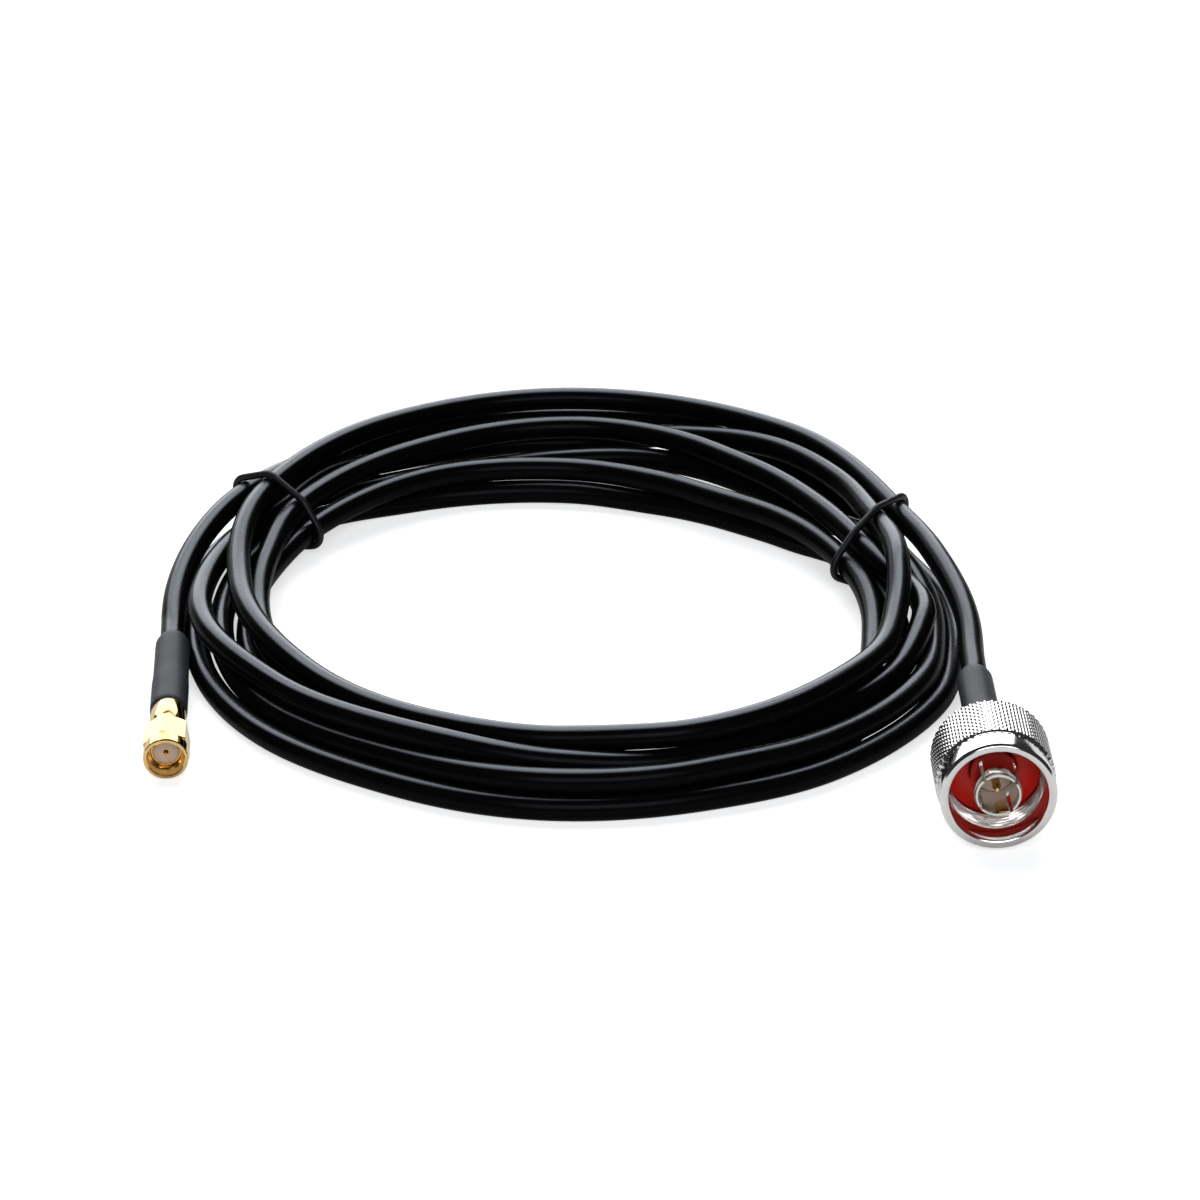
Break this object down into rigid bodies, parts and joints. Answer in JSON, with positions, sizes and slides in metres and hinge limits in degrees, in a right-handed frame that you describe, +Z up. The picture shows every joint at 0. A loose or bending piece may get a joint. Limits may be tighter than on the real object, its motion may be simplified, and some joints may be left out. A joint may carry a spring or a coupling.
{
  "type": "coaxial jumper cable",
  "caption": "Coiled low-loss coaxial jumper lying flat in two rubber ties, with a knurled screw-on N plug at one end and a small gold hex-nut plug at the other.",
  "frame": {"origin": "centre of the bounding box in plan, on the level surface that the coil lies on", "axes": "+Z up out of the coil's plane, -Y the way both plugs point along the box's longest side, and +X towards the N plug"},
  "size_m": [0.171, 0.1754, 0.0225],
  "materials": {
    "jacket": "smooth, semi-gloss black",
    "tie": "satin black",
    "shrink": "matte dark grey",
    "nickel": "bright nickel plate",
    "gold": "polished gold plate",
    "silicone": "satin red-orange",
    "insulator": "satin off-white"
  },
  "bodies": {
    "cable": {"cable_coil": "jacket", "cable_lead_n": "jacket", "cable_lead_sma": "jacket", "tie_left": "tie", "tie_right": "tie", "n_body": "nickel", "n_outer_contact": "nickel", "n_gasket": "silicone", "n_dielectric": "insulator", "n_center_pin": "gold", "n_heat_shrink": "shrink", "sma_body": "gold", "sma_dielectric": "insulator", "sma_center_socket": "gold", "sma_heat_shrink": "shrink"},
    "n_nut": {"n_nut": "nickel"},
    "sma_nut": {"sma_nut": "gold"}
  },
  "joints": [
    {"name": "n_nut_spin", "type": "hinge", "parent": "cable", "child": "n_nut", "pos_m": [0.07445, -0.0872, 0.01179], "axis": [0, -0.999, 0.045], "continuous": true},
    {"name": "sma_nut_spin", "type": "hinge", "parent": "cable", "child": "sma_nut", "pos_m": [-0.07869, -0.06059, 0.0046], "axis": [0.0698, -0.9976, 0], "continuous": true}
  ]
}
